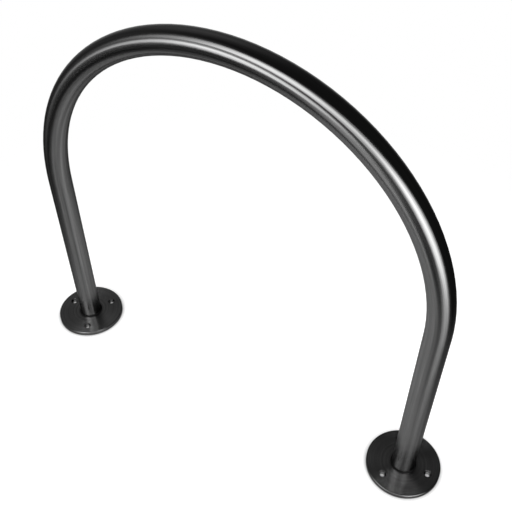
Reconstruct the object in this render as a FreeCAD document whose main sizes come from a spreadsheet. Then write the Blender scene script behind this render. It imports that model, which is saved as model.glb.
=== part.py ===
import FreeCAD, Part
import math
import os
import Sketcher

# Hoop bike rack: one bent tube whose legs stand in the bores of two round base flanges,
# with a fillet weld on top of each flange and a hidden root weld in each bore.
# The hoop lies in the XZ plane, +Z is up, and the origin is on the ground midway between
# the legs. Lengths are in millimetres.

SIZES = {
    "tube_diameter": (48.3, "outer diameter of the bent tube"),
    "tube_wall": (3.2, "wall of the bent tube"),
    "bend_radius": (419.0, "centreline radius of the half-round bend"),
    "leg_height": (423.0, "height above the ground where the bend starts"),
    "flange_diameter": (154.0, "outer diameter of a base flange"),
    "flange_thickness": (10.0, "thickness of a base flange"),
    "rim_chamfer": (1.0, "chamfer on the upper rim of a flange"),
    "bore_clearance": (0.15, "gap all round between the tube and a flange bore"),
    "bolt_count": (3, "anchor holes in a flange"),
    "bolt_hole": (10.0, "through diameter of an anchor hole"),
    "bolt_edge": (23.0, "distance from an anchor hole's centre to the rim"),
    "sink_width": (3.0, "width of the countersink ring round an anchor hole"),
    "sink_angle": (90.0, "included angle of the countersink in degrees"),
    "weld_leg": (3.0, "leg length of the fillet weld on top of a flange"),
    "root_leg": (3.0, "leg length of the root weld inside a bore"),
    "root_clearance": (1.0, "height of the root weld's lowest edge above the ground"),
}

TUBE_RADIUS = "<<Sizes>>.tube_diameter / 2"
BORE_RADIUS = "(<<Sizes>>.tube_diameter / 2 + <<Sizes>>.bore_clearance)"
TUBE_END = "(<<Sizes>>.root_leg + <<Sizes>>.root_clearance)"
HOLE_RADIUS_AT = "(<<Sizes>>.flange_diameter / 2 - <<Sizes>>.bolt_edge)"

Z_UP = FreeCAD.Vector(0, 0, 1)


# Sketch points and axes, as the pairs and numbers that constraints take

def point(x, y):
    return FreeCAD.Vector(x, y, 0)


def start(curve):
    return curve, 1


def end(curve):
    return curve, 2


def centre(curve):
    return curve, 3


def origin_point():
    return start(horizontal_axis())


def horizontal_axis():
    return -1


def vertical_axis():
    return -2


def make_sheet(document):
    sheet = document.addObject("Spreadsheet::Sheet", "Sizes")
    for row, (name, (value, meaning)) in enumerate(SIZES.items(), start=1):
        sheet.set("A%d" % row, name)
        sheet.set("B%d" % row, str(value))
        sheet.set("C%d" % row, meaning)
        sheet.setAlias("B%d" % row, name)
    document.recompute()
    return sheet


def make_body(document, label):
    body = document.addObject("PartDesign::Body", label)
    body.Label = label
    return body


def origin_feature(body, role):
    return next(item for item in body.Origin.OriginFeatures if item.Role == role)


def make_sketch(body, name, plane):
    sketch = body.newObject("Sketcher::SketchObject", name)
    sketch.AttachmentSupport = [(origin_feature(body, plane), "")]
    sketch.MapMode = "FlatFace"
    return sketch


def drive(sketch, name, constraint, expression):
    """Adds a named dimension to a sketch and ties it to the sheet."""
    index = sketch.addConstraint(constraint)
    sketch.renameConstraint(index, name)
    sketch.setExpression("Constraints." + name, expression)


def join(sketch, first, second):
    sketch.addConstraint(Sketcher.Constraint("Coincident", *first, *second))


def add_circle(sketch, radius, name, expression):
    """Adds a circle about the sketch's origin with a radius from the sheet."""
    circle = sketch.addGeometry(Part.Circle(point(0, 0), Z_UP, radius))
    join(sketch, centre(circle), origin_point())
    drive(sketch, name, Sketcher.Constraint("Radius", circle, radius), expression)


# Hoop tube

def draw_hoop_path(body, sheet):
    """Centreline: up the left leg, over the half-round bend and down the right leg."""
    radius, spring, low = sheet.bend_radius, sheet.leg_height, sheet.root_leg + sheet.root_clearance
    path = make_sketch(body, "HoopPath", "XZ_Plane")
    left = path.addGeometry(Part.LineSegment(point(-radius, low), point(-radius, spring)))
    circle = Part.Circle(point(0, spring), Z_UP, radius)
    bend = path.addGeometry(Part.ArcOfCircle(circle, 0, math.pi))
    right = path.addGeometry(Part.LineSegment(point(radius, spring), point(radius, low)))
    path.addConstraint(Sketcher.Constraint("Vertical", left))
    path.addConstraint(Sketcher.Constraint("Vertical", right))
    path.addConstraint(Sketcher.Constraint("Tangent", *end(left), *end(bend)))
    path.addConstraint(Sketcher.Constraint("Tangent", *start(bend), *start(right)))
    path.addConstraint(Sketcher.Constraint("PointOnObject", *centre(bend), vertical_axis()))
    path.addConstraint(Sketcher.Constraint("Horizontal", *start(left), *end(right)))
    drive(path, "Bend", Sketcher.Constraint("Radius", bend, radius), "<<Sizes>>.bend_radius")
    drive(path, "Spring", Sketcher.Constraint("DistanceY", *origin_point(), *centre(bend), spring),
          "<<Sizes>>.leg_height")
    drive(path, "TubeEnd", Sketcher.Constraint("DistanceY", *origin_point(), *start(left), low),
          TUBE_END)
    return path


def draw_tube_section(body, sheet):
    """Ring section at the lower end of the left leg."""
    outer = sheet.tube_diameter / 2
    section = make_sketch(body, "TubeSection", "XY_Plane")
    section.setExpression("AttachmentOffset.Base.x", "-<<Sizes>>.bend_radius")
    section.setExpression("AttachmentOffset.Base.z", TUBE_END)
    add_circle(section, outer, "Outer", TUBE_RADIUS)
    add_circle(section, outer - sheet.tube_wall, "Inner", TUBE_RADIUS + " - <<Sizes>>.tube_wall")
    return section


def make_hoop_tube(document, sheet):
    body = make_body(document, "hoop_tube")
    path = draw_hoop_path(body, sheet)
    section = draw_tube_section(body, sheet)
    document.recompute()
    pipe = body.newObject("PartDesign::AdditivePipe", "BentTube")
    pipe.Profile = section
    pipe.Spine = (path, ["Edge1", "Edge2", "Edge3"])
    document.recompute()
    return body


# Base flanges

def place_at_leg(body, side, height="0"):
    """Stands a body at the left (-1) or right (+1) leg, turned half a turn on the left."""
    sign = "" if side > 0 else "-"
    turn = 0 if side > 0 else 180
    body.Placement = FreeCAD.Placement(FreeCAD.Vector(), FreeCAD.Rotation(Z_UP, turn))
    body.setExpression("Placement.Base.x", sign + "<<Sizes>>.bend_radius")
    body.setExpression("Placement.Base.z", height)


def upper_rim(shape, radius, height):
    """Name of the circular edge on top of the disc at its outer radius."""
    for number, edge in enumerate(shape.Edges, start=1):
        curve = edge.Curve
        if curve.TypeId != "Part::GeomCircle":
            continue
        if abs(curve.Radius - radius) < 0.001 and abs(curve.Center.z - height) < 0.001:
            return "Edge%d" % number
    raise RuntimeError("no upper rim found")


def add_disc(document, body, sheet):
    """Disc with the bore that the leg stands in, chamfered round its upper rim."""
    outer = sheet.flange_diameter / 2
    outline = make_sketch(body, "Outline", "XY_Plane")
    add_circle(outline, outer, "Rim", "<<Sizes>>.flange_diameter / 2")
    add_circle(outline, sheet.tube_diameter / 2 + sheet.bore_clearance, "Bore", BORE_RADIUS)
    disc = body.newObject("PartDesign::Pad", "Disc")
    disc.Profile = outline
    disc.setExpression("Length", "<<Sizes>>.flange_thickness")
    document.recompute()
    chamfer = body.newObject("PartDesign::Chamfer", "RimChamfer")
    chamfer.Base = (disc, [upper_rim(disc.Shape, outer, sheet.flange_thickness)])
    chamfer.setExpression("Size", "<<Sizes>>.rim_chamfer")
    document.recompute()


def add_anchor_holes(document, body, sheet):
    """Countersunk anchor holes on one circle, the first of them pointing away from the hoop."""
    at = sheet.flange_diameter / 2 - sheet.bolt_edge
    spot = make_sketch(body, "HoleSpot", "XY_Plane")
    spot.setExpression("AttachmentOffset.Base.z", "<<Sizes>>.flange_thickness")
    mark = spot.addGeometry(Part.Circle(point(at, 0), Z_UP, sheet.bolt_hole / 2))
    spot.addConstraint(Sketcher.Constraint("PointOnObject", *centre(mark), horizontal_axis()))
    drive(spot, "HoleAt", Sketcher.Constraint("DistanceX", *origin_point(), *centre(mark), at),
          HOLE_RADIUS_AT)
    drive(spot, "HoleRadius", Sketcher.Constraint("Radius", mark, sheet.bolt_hole / 2),
          "<<Sizes>>.bolt_hole / 2")
    document.recompute()

    hole = body.newObject("PartDesign::Hole", "AnchorHole")
    hole.Profile = spot
    document.recompute()
    hole.Threaded = False
    hole.DepthType = "ThroughAll"
    hole.HoleCutType = "Countersink"
    hole.HoleCutCustomValues = True
    hole.setExpression("Diameter", "<<Sizes>>.bolt_hole")
    hole.setExpression("HoleCutDiameter", "<<Sizes>>.bolt_hole + 2 * <<Sizes>>.sink_width")
    hole.setExpression("HoleCutCountersinkAngle", "<<Sizes>>.sink_angle")
    document.recompute()

    ring = body.newObject("PartDesign::PolarPattern", "AnchorHoles")
    ring.Originals = [hole]
    ring.Axis = (origin_feature(body, "Z_Axis"), [""])
    ring.Angle = 360
    ring.setExpression("Occurrences", "<<Sizes>>.bolt_count")
    body.Tip = ring
    document.recompute()


def make_flange(document, sheet, label, side):
    body = make_body(document, label)
    add_disc(document, body, sheet)
    add_anchor_holes(document, body, sheet)
    place_at_leg(body, side)
    return body


# Welds

def revolve(document, body, sketch):
    ring = body.newObject("PartDesign::Revolution", "Ring")
    ring.Profile = sketch
    ring.ReferenceAxis = (origin_feature(body, "Z_Axis"), [""])
    ring.Angle = 360
    document.recompute()


def make_weld(document, sheet, label, side):
    """Hollow fillet in the corner between the leg and the top of its flange."""
    body = make_body(document, label)
    inner, leg = sheet.tube_diameter / 2, sheet.weld_leg
    section = make_sketch(body, "FilletSection", "XZ_Plane")
    foot = section.addGeometry(Part.LineSegment(point(inner, 0), point(inner + leg, 0)))
    face_circle = Part.Circle(point(inner + leg, leg), Z_UP, leg)
    face = section.addGeometry(Part.ArcOfCircle(face_circle, math.pi, 1.5 * math.pi))
    back = section.addGeometry(Part.LineSegment(point(inner, leg), point(inner, 0)))
    join(section, end(foot), end(face))
    join(section, start(face), start(back))
    join(section, end(back), start(foot))
    section.addConstraint(Sketcher.Constraint("Horizontal", foot))
    section.addConstraint(Sketcher.Constraint("Vertical", back))
    section.addConstraint(Sketcher.Constraint("PointOnObject", *start(foot), horizontal_axis()))
    section.addConstraint(Sketcher.Constraint("Horizontal", *start(face), *centre(face)))
    section.addConstraint(Sketcher.Constraint("Vertical", *end(face), *centre(face)))
    drive(section, "TubeSide", Sketcher.Constraint("DistanceX", *origin_point(), *start(foot), inner),
          TUBE_RADIUS)
    drive(section, "Leg", Sketcher.Constraint("Radius", face, leg), "<<Sizes>>.weld_leg")
    document.recompute()
    revolve(document, body, section)
    place_at_leg(body, side, "<<Sizes>>.flange_thickness")
    return body


def make_root_weld(document, sheet, label, side):
    """Triangular ring in the corner between the bore and the lower end of the leg."""
    body = make_body(document, label)
    outer, leg = sheet.tube_diameter / 2 + sheet.bore_clearance, sheet.root_leg
    low = sheet.root_clearance
    corners = [point(outer, low), point(outer, low + leg), point(outer - leg, low + leg)]
    section = make_sketch(body, "RootSection", "XZ_Plane")
    wall = section.addGeometry(Part.LineSegment(corners[0], corners[1]))
    top = section.addGeometry(Part.LineSegment(corners[1], corners[2]))
    face = section.addGeometry(Part.LineSegment(corners[2], corners[0]))
    join(section, end(wall), start(top))
    join(section, end(top), start(face))
    join(section, end(face), start(wall))
    section.addConstraint(Sketcher.Constraint("Vertical", wall))
    section.addConstraint(Sketcher.Constraint("Horizontal", top))
    section.addConstraint(Sketcher.Constraint("Equal", wall, top))
    drive(section, "BoreSide", Sketcher.Constraint("DistanceX", *origin_point(), *start(wall), outer),
          BORE_RADIUS)
    drive(section, "LowEdge", Sketcher.Constraint("DistanceY", *origin_point(), *start(wall), low),
          "<<Sizes>>.root_clearance")
    drive(section, "Leg", Sketcher.Constraint("DistanceY", *start(wall), *end(wall), leg),
          "<<Sizes>>.root_leg")
    document.recompute()
    revolve(document, body, section)
    place_at_leg(body, side)
    return body


# Build, check and export

def check_model(document, bodies):
    for item in document.Objects:
        if "Invalid" in item.State or "Error" in item.State:
            raise RuntimeError("%s failed to build: %s" % (item.Label, item.State))
    for body in bodies:
        shape = body.Shape
        if shape.isNull() or not shape.isValid() or len(shape.Solids) != 1:
            raise RuntimeError("%s is not one valid solid" % body.Label)


def export_parts(bodies):
    os.makedirs("parts", exist_ok=True)
    for body in bodies:
        body.Shape.exportStep("parts/%s.step" % body.Label)
        box = body.Shape.optimalBoundingBox()
        print("%-16s %10.0f mm3  x %7.1f %7.1f  y %6.1f %6.1f  z %6.1f %6.1f" % (
            body.Label, body.Shape.Volume, box.XMin, box.XMax, box.YMin, box.YMax, box.ZMin, box.ZMax))


def main():
    document = FreeCAD.newDocument("HoopBikeRack")
    sheet = make_sheet(document)
    bodies = [make_hoop_tube(document, sheet)]
    for name, side in (("left", -1), ("right", 1)):
        bodies.append(make_flange(document, sheet, name + "_flange", side))
        bodies.append(make_weld(document, sheet, name + "_weld", side))
        bodies.append(make_root_weld(document, sheet, name + "_root_weld", side))
    document.recompute()
    check_model(document, bodies)
    export_parts(bodies)


main()
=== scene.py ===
import math

import bmesh
import bpy
from mathutils import Matrix, Vector


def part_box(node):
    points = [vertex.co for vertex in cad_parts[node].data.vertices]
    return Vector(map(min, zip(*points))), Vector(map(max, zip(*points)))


# Looks of the hoop bike rack: dark polished steel, with faint streaks along the tube and turning
# marks on the flanges, on a white floor under soft studio light. Lengths are in metres and angles
# in degrees.

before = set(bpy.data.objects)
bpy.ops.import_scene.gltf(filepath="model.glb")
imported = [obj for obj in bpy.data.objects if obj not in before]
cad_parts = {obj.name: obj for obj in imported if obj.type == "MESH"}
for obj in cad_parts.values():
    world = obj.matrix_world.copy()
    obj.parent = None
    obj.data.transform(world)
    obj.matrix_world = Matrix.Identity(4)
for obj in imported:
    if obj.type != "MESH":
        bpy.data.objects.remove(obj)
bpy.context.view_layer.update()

# Sizes read from the frame

tube_low, tube_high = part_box("hoop_tube")
TUBE_RADIUS = (tube_high.y - tube_low.y) / 2
BEND_RADIUS = tube_high.x - TUBE_RADIUS
SPRING_HEIGHT = tube_high.z - tube_high.x
flange_low, flange_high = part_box("right_flange")
FLANGE_TOP = flange_high.z
FLANGE_RADIUS = (flange_high.y - flange_low.y) / 2

WHITE = (1.0, 1.0, 1.0, 1.0)


def direction(azimuth, elevation):
    """Unit vector at an azimuth from the front (-Y) towards +X and at an elevation."""
    turn, rise = math.radians(azimuth), math.radians(elevation)
    flat = math.cos(rise)
    return Vector((math.sin(turn) * flat, -math.cos(turn) * flat, math.sin(rise)))


# Node building

class Graph:
    """Short calls for building a node tree. A value is a number, a vector or a socket."""

    def __init__(self, tree):
        self.tree = tree
        tree.nodes.clear()

    def node(self, kind, **settings):
        made = self.tree.nodes.new(kind)
        for name, value in settings.items():
            setattr(made, name, value)
        return made

    def put(self, socket, value):
        if isinstance(value, bpy.types.NodeSocket):
            self.tree.links.new(value, socket)
        else:
            socket.default_value = value

    def math(self, operation, *values):
        made = self.node("ShaderNodeMath", operation=operation)
        for socket, value in zip(made.inputs, values):
            self.put(socket, value)
        return made.outputs[0]

    def vector(self, operation, *values):
        made = self.node("ShaderNodeVectorMath", operation=operation)
        for socket, value in zip(made.inputs, values):
            self.put(socket, value)
        gives_number = operation in ("DOT_PRODUCT", "LENGTH")
        return made.outputs["Value" if gives_number else "Vector"]

    def combine(self, x, y, z):
        made = self.node("ShaderNodeCombineXYZ")
        for socket, value in zip(made.inputs, (x, y, z)):
            self.put(socket, value)
        return made.outputs[0]

    def grey(self, value):
        return self.combine(value, value, value)

    def separate(self, vector):
        made = self.node("ShaderNodeSeparateXYZ")
        self.put(made.inputs[0], vector)
        return made.outputs

    def noise(self, place, fineness, detail=2.0, roughness=0.5):
        """Noise about 0.5. The fineness is how many times it varies per metre, along each axis."""
        made = self.node("ShaderNodeTexNoise")
        self.put(made.inputs["Vector"], self.vector("MULTIPLY", place, fineness))
        made.inputs["Scale"].default_value = 1.0
        made.inputs["Detail"].default_value = detail
        made.inputs["Roughness"].default_value = roughness
        return made.outputs[0]

    def uneven(self, *pairs):
        """Sum of noises, each taken about its mean and times its gain: about 0 everywhere."""
        total = 0.0
        for noise, gain in pairs:
            off_mean = self.math("SUBTRACT", noise, 0.5)
            total = self.math("MULTIPLY_ADD", off_mean, gain, total)
        return total

    def about(self, mean, share):
        """A mean that varies by a share of itself."""
        return self.math("MULTIPLY_ADD", share, mean, mean)

    def either(self, first, second, choice):
        """The first where the choice is 0, the second where it is 1."""
        rest = self.math("SUBTRACT", 1.0, choice)
        return self.math("MULTIPLY_ADD", first, rest, self.math("MULTIPLY", second, choice))

    def remap(self, value, low, high, to_low, to_high, smooth=False):
        """Takes low to to_low and high to to_high, and stays at those ends beyond them."""
        kind = "SMOOTHSTEP" if smooth else "LINEAR"
        made = self.node("ShaderNodeMapRange", interpolation_type=kind)
        limits = {"From Min": low, "From Max": high, "To Min": to_low, "To Max": to_high}
        for name, number in limits.items():
            made.inputs[name].default_value = number
        self.put(made.inputs["Value"], value)
        return made.outputs[0]

    def bump(self, height, distance):
        made = self.node("ShaderNodeBump")
        made.inputs["Strength"].default_value = 1.0
        made.inputs["Distance"].default_value = distance
        self.put(made.inputs["Height"], height)
        return made.outputs[0]

    def white_glow(self, strength):
        made = self.node("ShaderNodeEmission")
        made.inputs["Color"].default_value = WHITE
        self.put(made.inputs["Strength"], strength)
        return made

    def add(self, first, second):
        """Sum of two shaders."""
        made = self.node("ShaderNodeAddShader")
        self.put(made.inputs[0], first.outputs[0])
        self.put(made.inputs[1], second.outputs[0])
        return made

    def output(self, kind, shader):
        made = self.node(kind)
        self.put(made.inputs["Surface"], shader.outputs[0])


def new_material(name):
    material = bpy.data.materials.new(name)
    material.use_nodes = True
    return material, Graph(material.node_tree)


def object_place(graph):
    return graph.node("ShaderNodeTexCoord").outputs["Object"]


def finish_metal(graph, tone, roughness, normal, tangent, anisotropy, edge_tint):
    """Dark grey metal whose gloss spreads along the tangent."""
    shader = graph.node("ShaderNodeBsdfPrincipled")
    shader.inputs["Metallic"].default_value = 1.0
    shader.inputs["Anisotropic"].default_value = anisotropy
    shader.inputs["Specular Tint"].default_value = (edge_tint, edge_tint, edge_tint, 1.0)
    graph.put(shader.inputs["Base Color"], graph.grey(tone))
    graph.put(shader.inputs["Roughness"], roughness)
    graph.put(shader.inputs["Normal"], normal)
    graph.put(shader.inputs["Tangent"], tangent)
    graph.output("ShaderNodeOutputMaterial", shader)


# Tube: polished round, with faint lengthwise streaks

TUBE_COLOUR = 0.15
TUBE_ROUGHNESS = 0.18
TUBE_ANISOTROPY = 0.97
TUBE_EDGE_TINT = 0.5

# Its grain: fineness outward, sideways and along the tube, then gains for the tone, for the depth
# of the grooves and for the roughness

HAIRLINES = (620.0, 620.0, 9.0)
STREAKS = (190.0, 190.0, 2.0)
BANDS = (75.0, 75.0, 1.0)
HAIRLINE_TONE = 0.6
STREAK_TONE = 1.1
BAND_TONE = 0.4
HAIRLINE_DEPTH = 1.0
STREAK_DEPTH = 2.5
TUBE_GROOVES = 0.00004
TUBE_ROUGHNESS_SHARE = 0.5


def straightened(graph):
    """Place on the hoop straightened into a bar: outward, sideways, along.
    Also gives the direction along the tube."""
    x, y, z = graph.separate(object_place(graph))
    above = graph.math("SUBTRACT", z, SPRING_HEIGHT)
    risen = graph.math("MAXIMUM", above, 0.0)
    sunk = graph.math("MINIMUM", above, 0.0)
    reach = graph.vector("LENGTH", graph.combine(x, risen, 0.0))
    outward = graph.math("SUBTRACT", reach, BEND_RADIUS)
    round_bend = graph.math("MULTIPLY", graph.math("ARCTAN2", x, risen), BEND_RADIUS)
    down_leg = graph.math("MULTIPLY", graph.math("SIGN", x), sunk)
    along = graph.math("SUBTRACT", round_bend, down_leg)
    lengthwise = graph.combine(risen, 0.0, graph.math("MULTIPLY", x, -1.0))
    return graph.combine(outward, y, along), graph.vector("NORMALIZE", lengthwise)


def make_tube_material():
    material, graph = new_material("streaked_tube")
    bar, lengthwise = straightened(graph)
    hairlines = graph.noise(bar, HAIRLINES, detail=3.0, roughness=0.6)
    streaks = graph.noise(bar, STREAKS)
    bands = graph.noise(bar, BANDS, detail=1.0)
    grain = graph.uneven((hairlines, HAIRLINE_TONE), (streaks, STREAK_TONE), (bands, BAND_TONE))
    tone = graph.about(TUBE_COLOUR, grain)
    roughness = graph.about(TUBE_ROUGHNESS, graph.math("MULTIPLY", grain, TUBE_ROUGHNESS_SHARE))
    grooves = graph.uneven((hairlines, HAIRLINE_DEPTH), (streaks, STREAK_DEPTH))
    normal = graph.bump(grooves, TUBE_GROOVES)
    finish_metal(graph, tone, roughness, normal, lengthwise, TUBE_ANISOTROPY, TUBE_EDGE_TINT)
    return material


# Flanges: turned on a lathe and rougher inside the drilled holes, with painted shade darkening the
# outer edge and the countersinks

FLANGE_COLOUR = 0.3
FLANGE_ROUGHNESS = 0.235
FLANGE_ANISOTROPY = 1.0
FLANGE_EDGE_TINT = 0.4
# The outer edge's darker colour is painted shade on the chamfer and side wall, set against the lighter
# turned face
SHADED_EDGE_COLOUR = 0.13
EDGE_WIDTH = 0.0012
# The dark colour of the drilled metal in the top few millimetres, the countersinks, is painted shade in
# the holes; the bore below keeps the face's colour
SHADED_SUNK_COLOUR = 0.06
SUNK_FROM = 0.00005
BORE_COLOUR = 0.3
BORE_FROM = 0.003
DRILLED_ROUGHNESS = 0.6

# Their grain: fineness outward, from flange to flange and upward, then gains for the tone, for the
# depth of the grooves and for the roughness. The drift's fineness is along X, Y and Z

FINE_RINGS = (900.0, 1.0, 900.0)
RINGS = (260.0, 1.0, 0.0)
DRIFT = (30.0, 30.0, 30.0)
FINE_RING_TONE = 1.2
RING_TONE = 1.7
DRIFT_TONE = 0.4
FINE_RING_DEPTH = 0.5
RING_DEPTH = 1.5
FLANGE_GROOVES = 0.00008
FLANGE_ROUGHNESS_SHARE = 0.3


def past_leg(graph, x):
    """How far outside the nearer leg's axis a place lies, along X."""
    return graph.math("SUBTRACT", graph.math("ABSOLUTE", x), BEND_RADIUS)


def across_marks(graph, spoke):
    """Direction over the surface at right angles to the turning marks."""
    x, y, _ = graph.separate(spoke)
    marks = graph.vector("NORMALIZE", graph.combine(graph.math("MULTIPLY", y, -1.0), x, 0.0))
    surface = graph.node("ShaderNodeNewGeometry").outputs["Normal"]
    return graph.vector("CROSS_PRODUCT", marks, surface)


def flange_zones(graph, radius, z):
    """Masks of the outer edge, of all drilled metal and of the metal low in a hole. The edge and the
    drilled metal above the bore carry painted shade.
    """
    edge = graph.math("GREATER_THAN", radius, FLANGE_RADIUS - EDGE_WIDTH)
    inside = graph.math("SUBTRACT", 1.0, edge)
    drilled = graph.math("MULTIPLY", graph.math("LESS_THAN", z, FLANGE_TOP - SUNK_FROM), inside)
    bore = graph.math("LESS_THAN", z, FLANGE_TOP - BORE_FROM)
    return edge, drilled, bore


def make_flange_material():
    material, graph = new_material("turned_flange")
    x, y, z = graph.separate(object_place(graph))
    side = graph.math("SIGN", x)
    spoke = graph.combine(graph.math("MULTIPLY", past_leg(graph, x), side), y, 0.0)
    radius = graph.vector("LENGTH", spoke)
    turned = graph.combine(radius, side, z)
    fine_rings = graph.noise(turned, FINE_RINGS, detail=3.0, roughness=0.6)
    rings = graph.noise(turned, RINGS, roughness=0.6)
    drift = graph.noise(spoke, DRIFT)
    grain = graph.uneven((fine_rings, FINE_RING_TONE), (rings, RING_TONE), (drift, DRIFT_TONE))
    edge, drilled, bore = flange_zones(graph, radius, z)
    # The face takes the flange's colour, and the outer edge a darker one, which is painted shade
    face_and_shaded_edge_colour = graph.either(FLANGE_COLOUR, SHADED_EDGE_COLOUR, edge)
    # Drilled metal above the bore gets a dark colour, painted shade, and the bore below a lighter one
    shaded_sunk_and_bore_colour = graph.either(SHADED_SUNK_COLOUR, BORE_COLOUR, bore)
    tone = graph.about(graph.either(face_and_shaded_edge_colour, shaded_sunk_and_bore_colour, drilled), grain)
    roughness = graph.about(FLANGE_ROUGHNESS, graph.math("MULTIPLY", grain, FLANGE_ROUGHNESS_SHARE))
    roughness = graph.either(roughness, DRILLED_ROUGHNESS, drilled)
    grooves = graph.uneven((fine_rings, FINE_RING_DEPTH), (rings, RING_DEPTH))
    normal = graph.bump(graph.either(grooves, 0.0, drilled), FLANGE_GROOVES)
    tangent = across_marks(graph, spoke)
    finish_metal(graph, tone, roughness, normal, tangent, FLANGE_ANISOTROPY, FLANGE_EDGE_TINT)
    return material


# Welds: small rings, pitted and rippled, whose near-black colour is painted shade in the corner at the
# foot of the tube

# The weld's near-black colours are painted shade for the dark corner between tube and flange; the pits
# vary them at random
WELD_DARK = 0.0084
WELD_LIGHT = 0.0168
WELD_SMOOTH = 0.51
WELD_ROUGH = 0.72
WELD_EDGE_TINT = 0.2
WELD_RELIEF = 0.0001
PITS = (900.0, 900.0, 900.0)
PITS_LOW = 0.3
PITS_HIGH = 0.7
RIPPLE_COUNT = 72.0
RIPPLE_DEPTH = 0.3


def make_weld_material():
    material, graph = new_material("weld_metal")
    place = object_place(graph)
    x, y, _ = graph.separate(place)
    turn = graph.math("ARCTAN2", y, past_leg(graph, x))
    ripples = graph.math("SINE", graph.math("MULTIPLY", turn, RIPPLE_COUNT))
    pits = graph.noise(place, PITS)
    height = graph.math("MULTIPLY_ADD", ripples, RIPPLE_DEPTH, pits)
    # Painted shade: the tone stays near-black, varied by the pits
    tone = graph.remap(pits, PITS_LOW, PITS_HIGH, WELD_DARK, WELD_LIGHT)
    roughness = graph.remap(pits, PITS_LOW, PITS_HIGH, WELD_SMOOTH, WELD_ROUGH)
    normal = graph.bump(height, WELD_RELIEF)
    upward = graph.combine(0.0, 0.0, 1.0)
    finish_metal(graph, tone, roughness, normal, upward, anisotropy=0.0, edge_tint=WELD_EDGE_TINT)
    return material


def dress(node, material):
    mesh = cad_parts[node].data
    for index in range(len(mesh.materials)):
        mesh.materials[index] = material


tube_material = make_tube_material()
flange_material = make_flange_material()
weld_material = make_weld_material()
dress("hoop_tube", tube_material)
for side in ("left", "right"):
    dress(side + "_flange", flange_material)
    dress(side + "_weld", weld_material)
    dress(side + "_root_weld", weld_material)

# White floor, which melts into the white studio at its rim. It lies a little lower than the rack,
# so that the undersides of the flanges aren't in its plane

FLOOR_RADIUS = 1.2
FLOOR_SIDES = 128
FLOOR_GAP = 0.0003
FLOOR_FADE_FROM = 0.3
FLOOR_FADE_TO = 1.15
FLOOR_GLOW = 0.95
FLOOR_ALBEDO = 0.55
FLOOR_SHEEN = 0.04
FLOOR_SHEEN_ROUGHNESS = 0.2

# What gloss sees of the floor's glow: in its middle, and from the reach outwards

GLOSS_GLOW_MIDDLE = 0.46
GLOSS_GLOW_OUTSIDE = 0.08
GLOSS_GLOW_REACH = 0.8

# Contact shade: it starts where the rack is within reach, and is darkest where the floor is only
# so far open to the sky

CONTACT_REACH = 0.02
CONTACT_OPENNESS = 0.5
CONTACT_DARKEST = 0.35
CONTACT_SAMPLES = 16


def for_eye(graph, rays):
    """1 for what the camera sees, straight or through something clear."""
    return graph.math("MAXIMUM", rays.outputs["Is Camera Ray"], rays.outputs["Is Transmission Ray"])


def contact_shade(graph):
    """1 where nothing is near, less on the floor beside the flanges."""
    openness = graph.node("ShaderNodeAmbientOcclusion", samples=CONTACT_SAMPLES)
    openness.inputs["Distance"].default_value = CONTACT_REACH
    return graph.remap(openness.outputs["AO"], CONTACT_OPENNESS, 1.0, CONTACT_DARKEST, 1.0)


def floor_glow(graph, away):
    """Strength of the glow: even for the eye, strongest in the middle for gloss."""
    rays = graph.node("ShaderNodeLightPath")
    middle, outside = GLOSS_GLOW_MIDDLE, GLOSS_GLOW_OUTSIDE
    in_gloss = graph.remap(away, 0.0, GLOSS_GLOW_REACH, middle, outside, smooth=True)
    for_gloss = graph.math("MULTIPLY", rays.outputs["Is Glossy Ray"], in_gloss)
    return graph.math("MULTIPLY_ADD", for_eye(graph, rays), FLOOR_GLOW, for_gloss)


def floor_surface(graph, away):
    contact = contact_shade(graph)
    glow = graph.white_glow(graph.math("MULTIPLY", floor_glow(graph, away), contact))
    paint = graph.node("ShaderNodeBsdfDiffuse")
    graph.put(paint.inputs["Color"], graph.grey(graph.math("MULTIPLY", contact, FLOOR_ALBEDO)))
    sheen = graph.node("ShaderNodeBsdfGlossy")
    sheen.inputs["Color"].default_value = (FLOOR_SHEEN, FLOOR_SHEEN, FLOOR_SHEEN, 1.0)
    sheen.inputs["Roughness"].default_value = FLOOR_SHEEN_ROUGHNESS
    return graph.add(graph.add(glow, paint), sheen)


def make_floor_material():
    """White floor that darkens only where it is shaded, is clear at its rim, so that the studio
    shows there, and is clear from below."""
    material, graph = new_material("white_floor")
    away = graph.vector("LENGTH", object_place(graph))
    rim = graph.remap(away, FLOOR_FADE_FROM, FLOOR_FADE_TO, 0.0, 1.0, smooth=True)
    from_below = graph.node("ShaderNodeNewGeometry").outputs["Backfacing"]
    melted = graph.node("ShaderNodeMixShader")
    graph.put(melted.inputs[0], graph.math("MAXIMUM", rim, from_below))
    graph.put(melted.inputs[1], floor_surface(graph, away).outputs[0])
    graph.put(melted.inputs[2], graph.node("ShaderNodeBsdfTransparent").outputs[0])
    graph.output("ShaderNodeOutputMaterial", melted)
    return material


def make_floor():
    mesh = bpy.data.meshes.new("floor")
    shape = bmesh.new()
    bmesh.ops.create_circle(shape, cap_ends=True, segments=FLOOR_SIDES, radius=FLOOR_RADIUS)
    shape.to_mesh(mesh)
    shape.free()
    mesh.materials.append(make_floor_material())
    floor = bpy.data.objects.new("floor", mesh)
    floor.location.z = -FLOOR_GAP
    bpy.context.scene.collection.objects.link(floor)


make_floor()

# Softboxes, which face a point inside the hoop. Azimuth (from the front towards +X), elevation,
# half width and half height are as seen from there, and tilt lifts the right end. Softness is the
# reach of the soft edge as a share of the size, and strength is the brightness, with white as 1

LAMP_AIM = Vector((0.0, 0.0, 0.6))

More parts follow.
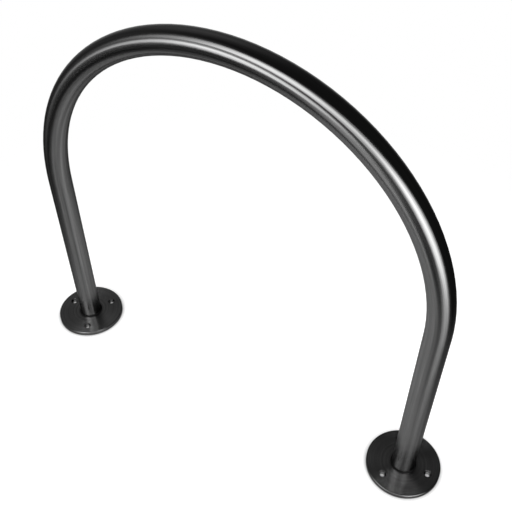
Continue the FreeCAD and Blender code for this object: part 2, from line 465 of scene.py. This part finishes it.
SOFTBOXES = {
    "upper_left": dict(azimuth=6.0, elevation=47.0, distance=1.20, half_width=45.0,
                       half_height=10.5, tilt=6.0, softness=0.9, strength=2.1),
    "front_key": dict(azimuth=-19.0, elevation=15.0, distance=1.25, half_width=22.0,
                      half_height=9.5, tilt=15.0, softness=0.85, strength=5.8),
    "front_low": dict(azimuth=1.0, elevation=-15.0, distance=1.40, half_width=12.0,
                      half_height=29.0, tilt=2.0, softness=0.4, strength=1.2),
    "right_key": dict(azimuth=60.0, elevation=4.0, distance=1.75, half_width=17.0,
                      half_height=22.5, tilt=-17.0, softness=0.65, strength=5.3),
    "near_left": dict(azimuth=-11.0, elevation=51.0, distance=1.30, half_width=20.0,
                      half_height=8.5, tilt=-4.0, softness=0.85, strength=3.4),
    "back_rim": dict(azimuth=-134.0, elevation=47.0, distance=1.30, half_width=19.0,
                     half_height=16.0, tilt=0.0, softness=0.9, strength=0.15),
}

# Far light in the world, over the dark of the studio

STUDIO_DARK = 0.032

FILLS = {
    "upper_key": dict(azimuth=23.0, elevation=25.0, half_width=30.0, half_height=11.0,
                      tilt=22.0, softness=0.6, strength=2.7),
    "front_left": dict(azimuth=-39.0, elevation=5.0, half_width=6.0, half_height=20.0,
                       tilt=57.0, softness=0.95, strength=2.8),
    "right_low": dict(azimuth=57.0, elevation=-33.0, half_width=15.0, half_height=29.0,
                      tilt=25.0, softness=0.6, strength=1.7),
    "bridge": dict(azimuth=20.0, elevation=-1.0, half_width=14.0, half_height=33.0,
                   tilt=53.0, softness=0.95, strength=0.31),
    "left_fill": dict(azimuth=-58.0, elevation=8.0, half_width=11.0, half_height=44.0,
                      tilt=4.0, softness=0.5, strength=0.42),
    "back_fill": dict(azimuth=-123.0, elevation=5.0, half_width=45.0, half_height=45.0,
                      tilt=-5.0, softness=1.0, strength=0.12),
}

# Where the white backdrop stands behind the rack, as gloss sees it

BACKDROP = dict(azimuth=-150.0, elevation=-12.0, half_width=35.0, half_height=22.0,
                tilt=0.0, softness=0.6, strength=1.0)


def lamp_axes(azimuth, elevation, tilt):
    """Unit vectors towards a lamp, along its width and along its height."""
    facing = direction(azimuth, elevation)
    level = facing.cross(Vector((0.0, 0.0, 1.0))).normalized()
    upright = level.cross(facing)
    turn = math.radians(tilt)
    wide = level * math.cos(turn) + upright * math.sin(turn)
    high = upright * math.cos(turn) - level * math.sin(turn)
    return facing, wide, high


def soft_edge(graph, out, softness):
    """1 well inside a lamp, 0 well outside, and soft where out is about 1."""
    return graph.remap(out, 1.0 - softness, 1.0 + softness, 1.0, 0.0, smooth=True)


def fade_softbox(graph, softness):
    """Lamp shader that is even in the middle and fades out over the soft edge."""
    place = graph.node("ShaderNodeNewGeometry").outputs["Parametric"]
    from_middle = graph.vector("SUBTRACT", place, (0.5, 0.5, 0.0))
    scale = 2.0 * (1.0 + softness)
    out = graph.vector("LENGTH", graph.vector("MULTIPLY", from_middle, (scale, scale, 0.0)))
    graph.output("ShaderNodeOutputLight", graph.white_glow(soft_edge(graph, out, softness)))


def make_softbox(name, azimuth, elevation, distance, half_width, half_height, tilt, softness, strength):
    """Elliptical area lamp, as bright as its strength says, that fades over its soft edge."""
    facing, wide, high = lamp_axes(azimuth, elevation, tilt)
    across = 2.0 * (1.0 + softness) * distance
    data = bpy.data.lights.new(name, "AREA")
    data.shape = "ELLIPSE"
    data.size = across * math.tan(math.radians(half_width))
    data.size_y = across * math.tan(math.radians(half_height))
    area = math.pi / 4.0 * data.size * data.size_y
    data.energy = strength * math.pi * area
    data.use_nodes = True
    fade_softbox(Graph(data.node_tree), softness)
    lamp = bpy.data.objects.new(name, data)
    bpy.context.scene.collection.objects.link(lamp)
    turned = Matrix((-wide, high, facing)).transposed().to_4x4()
    lamp.matrix_world = Matrix.Translation(LAMP_AIM + facing * distance) @ turned


def far_light(graph, ray, azimuth, elevation, half_width, half_height, tilt, softness, strength):
    """Light from a tilted ellipse of directions with a soft edge."""
    facing, wide, high = lamp_axes(azimuth, elevation, tilt)
    depth = graph.vector("DOT_PRODUCT", ray, facing)
    across = graph.math("ARCTAN2", graph.vector("DOT_PRODUCT", ray, wide), depth)
    upward = graph.math("ARCSINE", graph.vector("DOT_PRODUCT", ray, high))
    across_share = graph.math("DIVIDE", across, math.radians(half_width))
    upward_share = graph.math("DIVIDE", upward, math.radians(half_height))
    out = graph.vector("LENGTH", graph.combine(across_share, upward_share, 0.0))
    return graph.math("MULTIPLY", soft_edge(graph, out, softness), strength)


def make_studio():
    """World that is white to the eye, and to gloss where the backdrop stands. Elsewhere it is a
    dark studio with far light."""
    world = bpy.data.worlds.new("studio")
    world.use_nodes = True
    bpy.context.scene.world = world
    graph = Graph(world.node_tree)
    ray = graph.node("ShaderNodeTexCoord").outputs["Generated"]
    light = STUDIO_DARK
    for fill in FILLS.values():
        light = graph.math("ADD", light, far_light(graph, ray, **fill))
    rays = graph.node("ShaderNodeLightPath")
    backdrop = far_light(graph, ray, **BACKDROP)
    in_gloss = graph.math("MULTIPLY", rays.outputs["Is Glossy Ray"], backdrop)
    white = graph.math("MAXIMUM", for_eye(graph, rays), in_gloss)
    background = graph.node("ShaderNodeBackground")
    background.inputs["Color"].default_value = WHITE
    graph.put(background.inputs["Strength"], graph.either(light, 1.0, white))
    graph.output("ShaderNodeOutputWorld", background)


for name, values in SOFTBOXES.items():
    make_softbox(name, **values)
make_studio()

# Camera, as fitted to the outline of the rack in a picture of 512 by 512 pixels. The sensor's width
# is in millimetres

PICTURE_WIDTH = 512
FOCAL_PIXELS = 731.5
SENSOR_WIDTH = 36.0
CAMERA_PLACE = Vector((0.5546, -0.8369, 1.3911))
CAMERA_AZIMUTH = 30.527
CAMERA_ELEVATION = 44.513


def make_camera():
    data = bpy.data.cameras.new("camera")
    data.sensor_width = SENSOR_WIDTH
    data.lens = FOCAL_PIXELS / PICTURE_WIDTH * SENSOR_WIDTH
    camera = bpy.data.objects.new("camera", data)
    bpy.context.scene.collection.objects.link(camera)
    view = -direction(CAMERA_AZIMUTH, CAMERA_ELEVATION)
    camera.location = CAMERA_PLACE
    camera.rotation_mode = "QUATERNION"
    camera.rotation_quaternion = view.to_track_quat("-Z", "Y")
    bpy.context.scene.camera = camera


make_camera()
bpy.context.scene.view_settings.view_transform = "Standard"
